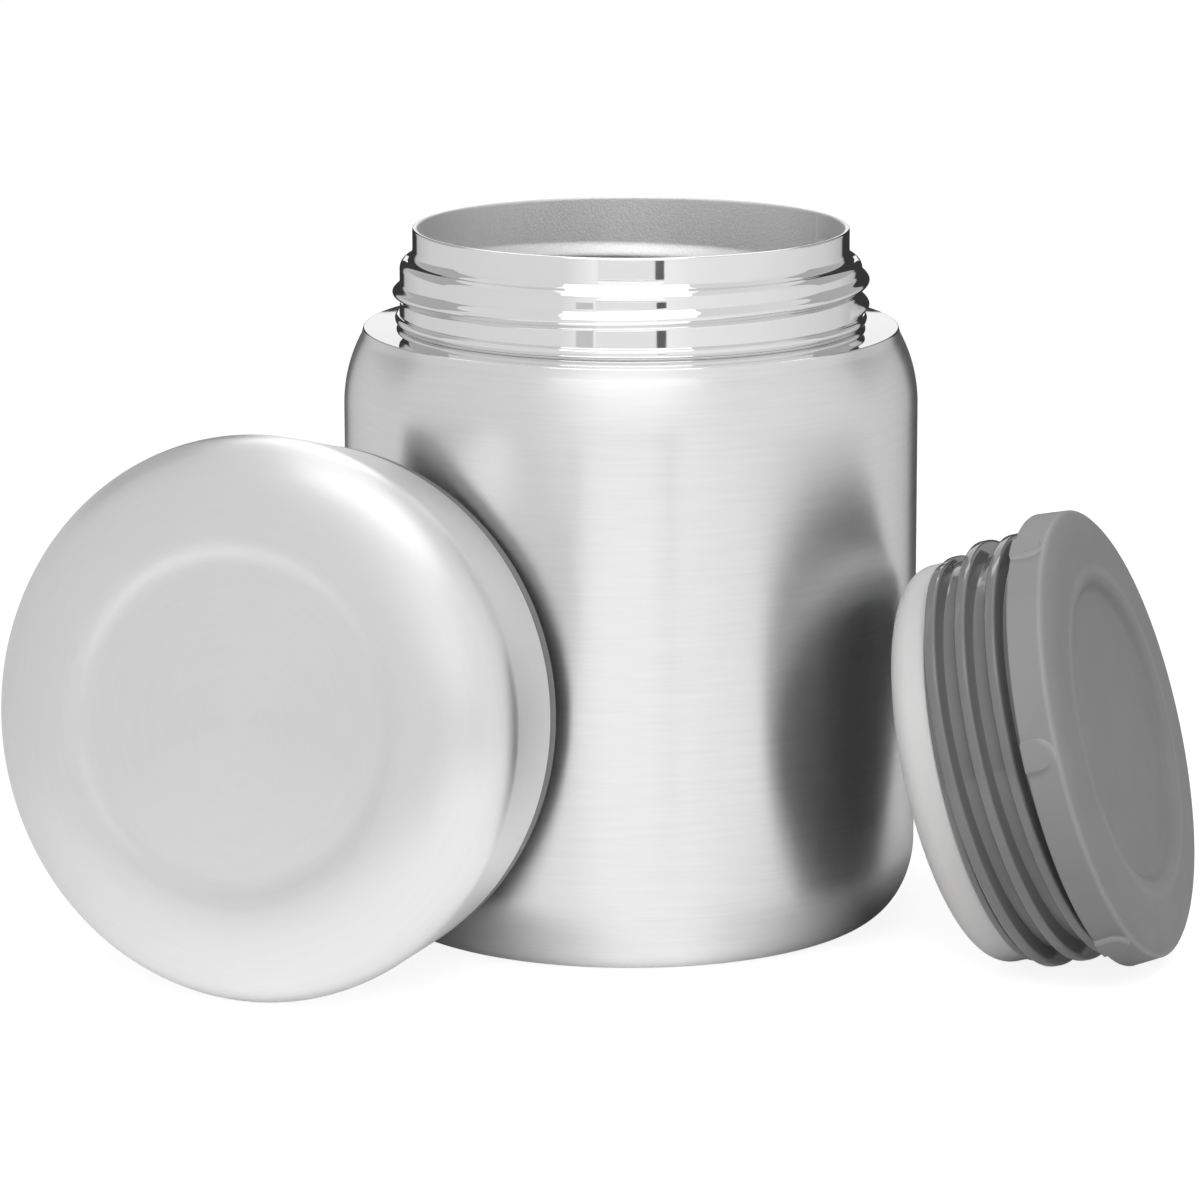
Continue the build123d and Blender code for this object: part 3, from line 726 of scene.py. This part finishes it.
def shell_outline():
    """Outer shell: outside face from the base flange to the rim, and back down behind it."""
    centre = BODY_RADIUS - SHOULDER_ARC
    turn = math.degrees(math.acos((SHOULDER_END - centre) / SHOULDER_ARC))
    corner = (BODY_RADIUS - CORNER_ACROSS, CORNER_UP)
    foot = (FOOT_RADIUS, FOOT_ROLL)
    shoulder = arc((centre, BODY_TOP), SHOULDER_ARC, 0, turn, 24)
    base = [(FOOT_RADIUS - FOOT_ROLL, FLANGE_TOP)] + arc(foot, FOOT_ROLL, 180, 270)
    wall = oval(corner, CORNER_ACROSS, CORNER_UP, 270, 360, 32) + [
        (BODY_RADIUS, height) for height in (30.0, 50.0, 70.0)]
    seat = rounded(shoulder[-1], (SEAT_RADIUS, SEAT_HEIGHT - SEAT_DROP, 0.3),
                   (NECK_RADIUS, SEAT_HEIGHT, 0.12), (NECK_RADIUS, SEAT_HEIGHT + 0.15), count=6)
    neck = arc((NECK_RADIUS, BEAD_HEIGHT), BEAD_RADIUS, -80, 80, 24) + stretch(
        (NECK_RADIUS, BEAD_HEIGHT + 0.95), (NECK_RADIUS, NECK_TOP))
    lip = double_bend((NECK_RADIUS, NECK_TOP), (LIP_RADIUS, LIP_FOOT), 24) + [
        (LIP_RADIUS, height) for height in (116.0, 117.5, 118.95, 119.05)]
    rim = arc((RIM_RADIUS, RIM_HEIGHT - RIM_ROLL), RIM_ROLL, 0, 90, 6)
    neck_behind = NECK_RADIUS - STEEL
    neck_back = [(RIM_RADIUS, 116.0), (neck_behind, 112.4), (neck_behind, 102.63), (45.2, 102.1)]
    wall_back = arc((centre, BODY_TOP), SHOULDER_ARC - STEEL, turn, 0, 12) + oval(
        corner, CORNER_ACROSS - STEEL, CORNER_UP - STEEL, 360, 270, 16)
    base_back = [(FOOT_RADIUS, STEEL)] + arc(foot, FOOT_ROLL - STEEL, 270, 180) + [
        (FOOT_RADIUS - FOOT_ROLL + STEEL, FLANGE_TOP)]
    return base + wall + shoulder + seat + neck + lip + rim + neck_back + wall_back + base_back


def mouth_outline():
    """Inner tube: plain mouth, thread, seal seat, throat and wall, with its back towards the vacuum."""
    throat = (THROAT_RADIUS, THROAT_FOOT)
    rim = arc((RIM_RADIUS, RIM_HEIGHT - RIM_ROLL), RIM_ROLL, 90, 180, 6)
    mouth = stretch((MOUTH_RADIUS, 118.9), (MOUTH_RADIUS, 101.9), 0.2)
    seat = rounded((MOUTH_RADIUS, 101.9), (MOUTH_RADIUS, MOUTH_FOOT, 0.1),
                   (THROAT_RADIUS, MOUTH_FOOT - SEAL_SEAT_RISE, 0.8), (THROAT_RADIUS, 95.6), count=6)
    wall = double_bend(throat, (VESSEL_RADIUS, VESSEL_TOP), 16) + [
        (VESSEL_RADIUS, height) for height in (60.0, 40.0, CUP_TOP)]
    back_radius = VESSEL_RADIUS + STEEL
    behind = [(back_radius, CUP_TOP)] + double_bend(
        (back_radius, VESSEL_TOP), (THROAT_RADIUS + STEEL, THROAT_FOOT), 10) + [
        (THROAT_RADIUS + STEEL, 97.4), (MOUTH_RADIUS + STEEL, 101.6)]
    return rim + mouth + seat + wall + behind


def cup_outline():
    """Drawn bottom of the inner vessel."""
    corner = (VESSEL_RADIUS - CUP_CORNER, CUP_FLOOR + CUP_CORNER)
    inside = [(VESSEL_RADIUS, CUP_TOP)] + arc(corner, CUP_CORNER, 0, -90, 16) + [(0, CUP_FLOOR)]
    below = [(0, CUP_FLOOR - STEEL)] + arc(corner, CUP_CORNER + STEEL, -90, 0, 16)
    return inside + below + [(VESSEL_RADIUS + STEEL, CUP_TOP)]


shell = turned("brushed_shell_and_neck", shell_outline(), 720, neck_lift, 30)
place(shell, "jar", "outer_shell", "body_steel", BODY_BRUSH, NECK_POLISH)
POLISH_FROM = 102.1     # the seat ring and all above it are polished
for face in shell.polygons:
    face.material_index = 1 if face.center.z > POLISH_FROM * MM else 0
tube = turned("mouth_and_throat", mouth_outline(), 1440, mouth_lift, 30)
place(tube, "jar", "inner_wall", "inner_steel", MOUTH_SATIN)
place(turned("inner_cup", cup_outline()), "jar", "inner_bottom", "inner_steel", MOUTH_SATIN)
cap = rounded((0, 0.8), (35.4, 0.8, 0.2), (35.4, 1.2, 0.1), (0, 1.2))
place(turned("base_disc", cap, 240), "jar", "base_cap", "cap_steel", SHEET_STEEL)


# ------------------------------------------------- lid, drawn closed side down from z = 0
def lid_shell_outline():
    """Steel shell: rolled edge, tapered wall, elliptical crown and shallow dish."""
    wall_top = (46.4541, 20.9514)
    centre = (CROWN_RADIUS, CROWN_HEIGHT)
    top = CROWN_HEIGHT + CROWN_UP
    outside = (
        rounded((44.05, LINER_FOOT), (44.3, LINER_FOOT, 0.2), wall_top)
        + oval(centre, CROWN_ACROSS, CROWN_UP, CROWN_START, 90, 48)
        + dish_bend((CROWN_RADIUS, top), DISH_DEPTH, DISH_BEND)[1:]
    )
    dish_under = top - DISH_DEPTH - LID_STEEL
    inside = (
        [(0, top - DISH_DEPTH), (0, dish_under), (25.2, dish_under), (CROWN_RADIUS, top - LID_STEEL)]
        + oval(centre, CROWN_ACROSS - LID_STEEL, CROWN_UP - LID_STEEL, 90, CROWN_START, 24)
        + [(43.8, 3.6)]
    )
    return outside + inside


def liner_outline():
    """Plastic liner: foot ring, wall and plate."""
    plate_under = LINER_TOP - LINER_PLATE
    outside = rounded(
        (LINER_BORE, 0.3), (LINER_BORE + 0.3, 0, 0.25), (LINER_RADIUS, 0, 0.6),
        (LINER_RADIUS, LINER_FOOT, 0.1), (LINER_LAND, LINER_FOOT, 0.05), (LINER_LAND, 8.4),
        (LINER_WALL, 8.4), (LINER_WALL, LINER_TOP), (0, LINER_TOP))
    return outside + rounded((0, plate_under), (LINER_BORE, plate_under, 0.8), (LINER_BORE, 0.3))


def mirrored(half):
    """Whole section of a thread from its lower half, which ends at the crest."""
    return half + [(radius, -up) for radius, up in reversed(half) if up]


LID_THREAD = mirrored([(42.0, -1.3), (41.2, -1.3), (40.8, -1.0), (40.3, -0.6), (40.05, 0.0)])
lid_steel = turned("lid_steel_shell", lid_shell_outline(), 720, crease=30)
place(lid_steel, "lid", "lid_shell", "lid_steel", LID_BRUSH, where=LID)
liner_thread = wound("liner_thread", LID_THREAD, pitch=4.2, turns=1.1, start_angle=-286.0, start_height=2.23)
liner = joined("lid_liner_with_thread", turned("liner", liner_outline()), outward(liner_thread))
place(liner, "lid", "lid_liner", "liner_plastic", LINER, where=LID)


# ------------------------------------------------- stopper, drawn seal down from z = 0
def knob_lift(angles, radius, height):
    """Grip lugs, open towards the thread and rounded towards the face."""
    if radius < 36 or height < KNOB_FOOT + 0.05:
        return np.zeros_like(angles)
    lug = np.zeros_like(angles)
    slope, spread = 0.4, 0.12
    for index in range(LUG_COUNT):
        aside = LUG_RADIUS * from_bearing(angles, math.radians(LUG_START + 360 / LUG_COUNT * index))
        above = max(0.0, height - LUG_END)
        reach = np.sqrt(aside ** 2 + above ** 2)
        t = np.clip((LUG_WIDTH / 2 + spread - reach) / slope, 0, 1)
        lug = np.maximum(lug, t * t * (3 - 2 * t))
    return LUG_RISE * lug


def knob_outline():
    """Cap: drafted side, crisp edge, dished face, and the pocket over the plug's flange."""
    side = [(38.2, KNOB_FOOT), (38.4, 22.78), (38.48, 22.95)] + stretch((38.46, 23.1), (38.04, 27.78), 0.18)
    edge = rounded(side[-1], (38.0, 28.2, 0.7), (36.9, 28.99), count=8)[1:-1]
    crown = arc((33.5, 23.094), 6.806, 58, 90, 16)
    dish = [(30.0, KNOB_FLAT)] + dish_bend((KNOB_DISH, KNOB_FLAT), 1.6, 2.6)
    pocket = [(0, 28.3), (0, 25.3), (34.7, 25.3), (34.7, KNOB_FOOT)]
    return side + edge + crown + dish + pocket


def plug_outline():
    """Threaded cup between the seal and the knob."""
    return rounded(
        (0, PLUG_FOOT), (PLUG_FLANGE, PLUG_FOOT, 0.25), (PLUG_FLANGE, 8.1, 0.25), (PLUG_ROOT, 8.1, 0.3),
        (PLUG_ROOT, KNOB_FOOT), (PLUG_FLANGE, KNOB_FOOT), (PLUG_FLANGE, 25.1), (PLUG_BORE, 25.1),
        (PLUG_BORE, 8.9), (0, 8.9))


def base_outline():
    """Disc under the plug, with the flange that holds the seal."""
    return rounded((0, 0.6), (26.8, 0.6, 0.2), (26.8, 0.62), (28.0, 0.62), (28.0, 2.4), (26.8, 2.4),
                   (26.8, PLUG_FOOT), (0, PLUG_FOOT))


def seal_outline():
    """Sealing ring: soft outer corner, and the groove round the disc's flange."""
    corner = arc((SEAL_RADIUS - SEAL_CORNER, SEAL_CORNER), SEAL_CORNER, 270, 360, 16)
    return rounded((28.2, 0, 0.1), (SEAL_RADIUS - SEAL_CORNER, 0)) + corner + rounded(
        (SEAL_RADIUS, 3.5), (SEAL_RADIUS, 6.88, 0.35), (27.0, 6.88), (27.0, 2.6), (28.2, 2.6), (28.2, 0))


PLUG_THREAD = mirrored([
    (32.5, -1.45), (33.28, -1.45), (33.5, -1.33), (33.8, -1.22), (35.5, -1.02), (35.85, -0.93),
    (36.04, -0.74), (PLUG_CREST, -0.5), (PLUG_CREST, 0.0)])
knob = turned("knob_with_grip_lugs", knob_outline(), 1200, knob_lift, 50)
place(knob, "stopper", "stopper_knob", "knob_plastic", KNOB, where=STOPPER)
plug_thread = wound("plug_thread", PLUG_THREAD, pitch=5.2, turns=2.55, start_angle=0.0, start_height=7.9)
plug = joined("threaded_plug", turned("plug", plug_outline()), outward(plug_thread))
place(plug, "stopper", "stopper_plug", "plug_plastic", PLUG, where=STOPPER)
base = turned("seal_base_disc", base_outline())
place(base, "stopper", "stopper_base", "plug_plastic", PLUG, where=STOPPER)
seal = turned("soft_seal_ring", seal_outline())
place(seal, "seal", "stopper_seal", "silicone", SILICONE, where=STOPPER)

# CAD nodes whose shape is right as it is
CARRIED = {
    "heat_shield_wrap": COPPER, "heat_shield_disc": COPPER, "outer_bottom": SHEET_STEEL,
    "vacuum_plug": SOLDER, "getter_pellet": GETTER, "getter_clip": SHEET_STEEL, "base_tape": TAPE,
    "lid_foam": FOAM, "stopper_foam": FOAM,
}
for node, material in CARRIED.items():
    carried = frame["nodes"][node].data
    carried.materials.clear()
    carried.materials.append(material)


# ------------------------------------------------- studio
def ray_kinds(tree):
    """1 where a camera, glossy or transmission ray looks, 0 for light that only fills."""
    path = tree.nodes.new("ShaderNodeLightPath")
    seen = math_node(tree, "MAXIMUM", path.outputs["Is Camera Ray"], path.outputs["Is Glossy Ray"])
    return math_node(tree, "MAXIMUM", seen, path.outputs["Is Transmission Ray"])


def level_ramp(tree, share, levels):
    """Brightness along a share of the full circle, from (bearing, level) pairs."""
    ramp = tree.nodes.new("ShaderNodeValToRGB")
    tree.links.new(share, ramp.inputs[0])
    stops = ramp.color_ramp.elements
    for index, (degrees, level) in enumerate(levels):
        at = (degrees + 180) / 360
        stop = stops[index] if index < 2 else stops.new(at)
        stop.position = at
        stop.color = (level, level, level, 1)
    return ramp.outputs[0]


CARD_LEVELS = [
    (-180, 0.04), (-148, 0.04), (-145, 0.5), (-136, 0.6), (-122, 0.7), (-60, 0.78), (-32, 0.8),
    (-18, 1.0), (18, 1.0), (30, 0.93), (60, 0.88), (90, 0.78), (118, 0.68), (138, 0.5), (141, 0.04),
    (180, 0.04),
]
FLOOR_LEVELS = [
    (-180, 0.04), (-148, 0.04), (-145, 0.5), (-136, 0.6), (-122, 0.7), (-80, 0.8), (-60, 0.92),
    (-40, 0.97), (-25, 1.0), (18, 1.0), (30, 0.95), (60, 0.9), (90, 0.78), (118, 0.68), (138, 0.5),
    (141, 0.04), (180, 0.04),
]


def surround_group():
    """How bright the cards and the floor round the set are in each direction.

    The floor's level is darkened near the jar's foot, except straight in front of it: a painted shadow that
    shiny surfaces see.
    """
    tree, _, result = new_group("card levels", {}, ["Card", "Floor"])
    near_at_axis, near_per_metre, dimming = 2.3, -26.0, -0.9
    front_bearing, front_half_width = 0.07, 0.12    # radians
    x, y, _ = split_vector(tree, object_place(tree))
    bearing = math_node(tree, "ARCTAN2", x, product(tree, y, -1.0))
    share = math_node(tree, "MULTIPLY_ADD", bearing, 0.5 / math.pi, 0.5)
    tree.links.new(level_ramp(tree, share, CARD_LEVELS), result.inputs["Card"])
    # painted shadow on the floor round the jar's foot, at its sides
    near = clamped(math_node(tree, "MULTIPLY_ADD", length_of(tree, x, y), near_per_metre, near_at_axis))
    off_front = math_node(tree, "ABSOLUTE", math_node(tree, "SUBTRACT", bearing, front_bearing))
    aside = clamped(math_node(tree, "SUBTRACT", off_front, front_half_width))
    dim = math_node(tree, "MULTIPLY_ADD", product(tree, near, aside), dimming, 1.0)
    floor = product(tree, level_ramp(tree, share, FLOOR_LEVELS), dim)
    tree.links.new(floor, result.inputs["Floor"])
    return tree


def bare_material(name):
    """Material with an empty tree, and that tree."""
    material = bpy.data.materials.new(name)
    material.use_nodes = True
    material.node_tree.nodes.clear()
    return material, material.node_tree


def paint(tree, level):
    """Matt grey shader. Its level is a number or a socket."""
    node = tree.nodes.new("ShaderNodeBsdfDiffuse")
    if isinstance(level, float):
        node.inputs["Color"].default_value = (level, level, level, 1)
    else:
        tree.links.new(level, node.inputs["Color"])
    return node.outputs[0]


def white_light(tree, kind, strength):
    """White emission or background shader. Its strength is a number or a socket."""
    node = tree.nodes.new(kind)
    node.inputs["Color"].default_value = (1, 1, 1, 1)
    give(tree, node.inputs["Strength"], strength)
    return node.outputs[0]


def both(tree, first, second):
    """Sum of two shaders."""
    node = tree.nodes.new("ShaderNodeAddShader")
    tree.links.new(first, node.inputs[0])
    tree.links.new(second, node.inputs[1])
    return node.outputs[0]


def either(tree, share, first, second):
    """The first shader where the share is 0, the second where it is 1."""
    node = tree.nodes.new("ShaderNodeMixShader")
    for socket, source in zip(node.inputs, (share, first, second)):
        tree.links.new(source, socket)
    return node.outputs[0]


def show(tree, kind, shader):
    """Ends a tree with its output node."""
    tree.links.new(shader, tree.nodes.new(kind).inputs[0])


def floor_material():
    """Pale floor that shows white with a soft shadow.

    Shiny surfaces see it as dim as the cards above it.
    """
    material, tree = bare_material("pale floor")
    camera_ray = tree.nodes.new("ShaderNodeLightPath").outputs["Is Camera Ray"]
    level = use_group(tree, SURROUND)["Floor"]
    plain = paint(tree, 0.8)
    seen = both(tree, paint(tree, 0.3), white_light(tree, "ShaderNodeEmission", 0.875))
    mirrored = both(tree, paint(tree, product(tree, level, 0.9)),
                    white_light(tree, "ShaderNodeEmission", product(tree, level, 0.19)))
    looked_at = either(tree, camera_ray, mirrored, seen)
    show(tree, "ShaderNodeOutputMaterial", either(tree, ray_kinds(tree), plain, looked_at))
    return material


def white_world():
    """White for the camera, a little dimmer in shiny surfaces, and a softer fill for everything else."""
    mirrored_level, fill_level = 0.78, 0.36
    world = bpy.data.worlds.new("white studio")
    bpy.context.scene.world = world
    world.use_nodes = True
    tree = world.node_tree
    tree.nodes.clear()
    camera_ray = tree.nodes.new("ShaderNodeLightPath").outputs["Is Camera Ray"]
    level = math_node(tree, "MULTIPLY_ADD", camera_ray, 1 - mirrored_level, mirrored_level)
    seen = white_light(tree, "ShaderNodeBackground", level)
    fill = white_light(tree, "ShaderNodeBackground", fill_level)
    show(tree, "ShaderNodeOutputWorld", either(tree, ray_kinds(tree), fill, seen))


def glow_material(name, level=None):
    """Evenly lit cloth, from 0, black, to 1, white. With no level it takes that of its direction."""
    material, tree = bare_material(name)
    strength = use_group(tree, SURROUND)["Card"] if level is None else level
    show(tree, "ShaderNodeOutputMaterial", white_light(tree, "ShaderNodeEmission", strength))
    return material


def stage_mesh(name, corners, faces, material):
    """Part of the set, which isn't part of the object."""
    mesh = bpy.data.meshes.new(name)
    mesh.from_pydata(corners, [], faces)
    part = bpy.data.objects.new(name, mesh)
    bpy.context.scene.collection.objects.link(part)
    mesh.materials.append(material)
    return part


def shine(name, corners, material, faces=None):
    """Part of the set that only shiny surfaces see."""
    part = stage_mesh(name, corners, faces or [list(range(len(corners)))], material)
    part.visible_camera = False
    part.visible_diffuse = False
    part.visible_shadow = False
    part.visible_transmission = False


def card(name, start, end, distance, low, high, material):
    """Upright curved card between two bearings round the jar, which only shiny surfaces see."""
    degrees_per_face = 4
    count = max(2, int(abs(end - start) / degrees_per_face))
    corners = []
    for bearing in np.radians(np.linspace(start, end, count + 1)):
        x, y = distance * math.sin(bearing), -distance * math.cos(bearing)
        corners += [(x, y, low), (x, y, high)]
    faces = [[2 * i, 2 * i + 2, 2 * i + 3, 2 * i + 1] for i in range(count)]
    shine(name, corners, material, faces)


def lamp(name, place_at, size, power):
    """Soft oblong lamp that shines on the jar."""
    light = bpy.data.lights.new(name, "AREA")
    light.shape = "RECTANGLE"
    light.size, light.size_y = size
    light.energy = power
    lantern = bpy.data.objects.new(name, light)
    bpy.context.scene.collection.objects.link(lantern)
    lantern.location = place_at
    way = Vector((0, 0, 0.05)) - Vector(place_at)
    lantern.rotation_euler = way.to_track_quat("-Z", "Y").to_euler()
    lantern.visible_glossy = False


SURROUND = surround_group()
stage_mesh("floor", [(-6, -6, 0), (6, -6, 0), (6, 6, 0), (-6, 6, 0)], [[0, 1, 2, 3]], floor_material())
white_world()
GREY = glow_material("grey card")
WHITE = glow_material("white card", 0.97)
DIM = glow_material("dim card", 0.45)
CARDS = [   # name, bearings of its ends in degrees, distance, lower and upper edge in metres, material
    ("grey_surround_left", -160, -16, 0.27, 0.0, 0.34, GREY),
    ("grey_surround_right", 16, 160, 0.27, 0.0, 0.34, GREY),
    ("low_card_behind", 160, 200, 0.27, 0.0, 0.12, GREY),
    ("white_card_behind", 156, 204, 0.28, 0.12, 0.36, WHITE),
    ("high_dim_card_left", -142, -100, 0.268, 0.15, 0.34, DIM),
    ("high_dim_card_right", 100, 142, 0.268, 0.15, 0.34, DIM),
    ("front_card_white", -17, 17, 1.05, 0.2, 1.2, glow_material("front cloth", 1.15)),
    ("front_card_pale", -16.7, 12, 0.5, 0.0, 0.06, glow_material("pale card", 0.89)),
    ("front_card_dark", 12, 17.5, 0.49, 0.0, 0.06, glow_material("dark card", 0.12)),
    ("front_card_left", -25, -17, 0.262, 0.0, 0.079, glow_material("middle card", 0.62)),
]
for entry in CARDS:
    card(*entry)
shine("front_softbox", [(-0.85, -1.1, 1.2), (0.72, -1.1, 1.2), (0.38, -0.25, 1.2), (-0.45, -0.25, 1.2)],
      glow_material("softbox cloth", 1.7))
shine("overhead_softbox", [(-0.45, -0.25, 1.2), (0.38, -0.25, 1.2), (0.17, 0.8, 1.2), (-0.2, 0.8, 1.2)],
      glow_material("overhead softbox cloth", 1.25))
shine("back_softbox", [(-0.4, 0.9, 0.36), (0.4, 0.9, 0.36), (0.4, 0.7, 1.0), (-0.4, 0.7, 1.0)],
      glow_material("back softbox cloth", 3.0))
lamp("key_lamp", (-0.1, -0.8, 1.3), size=(1.6, 0.7), power=13)
lamp("front_lamp", (0.2, -1.3, 0.8), size=(0.9, 0.9), power=8)


# ------------------------------------------------- camera
PITCH = math.radians(11.56)     # downwards
AIM_HEIGHT = 0.06               # metres; the camera is 1 m from that point of the jar's axis
PICTURE = 1200                  # pixels across
FOCAL_LENGTH = 5810             # pixels
SHIFT_ASIDE, SHIFT_UP = -30.98, -31.23      # pixels
SENSOR = 36                     # mm
camera = bpy.data.objects.new("camera", bpy.data.cameras.new("camera"))
bpy.context.scene.collection.objects.link(camera)
camera.location = (0, -math.cos(PITCH), AIM_HEIGHT + math.sin(PITCH))
camera.rotation_euler = (math.pi / 2 - PITCH, 0, 0)
camera.data.sensor_width = SENSOR
camera.data.lens = FOCAL_LENGTH / PICTURE * SENSOR
camera.data.shift_x = SHIFT_ASIDE / PICTURE
camera.data.shift_y = SHIFT_UP / PICTURE
camera.data.clip_start = 0.01
bpy.context.scene.camera = camera
bpy.context.scene.view_settings.view_transform = "Standard"
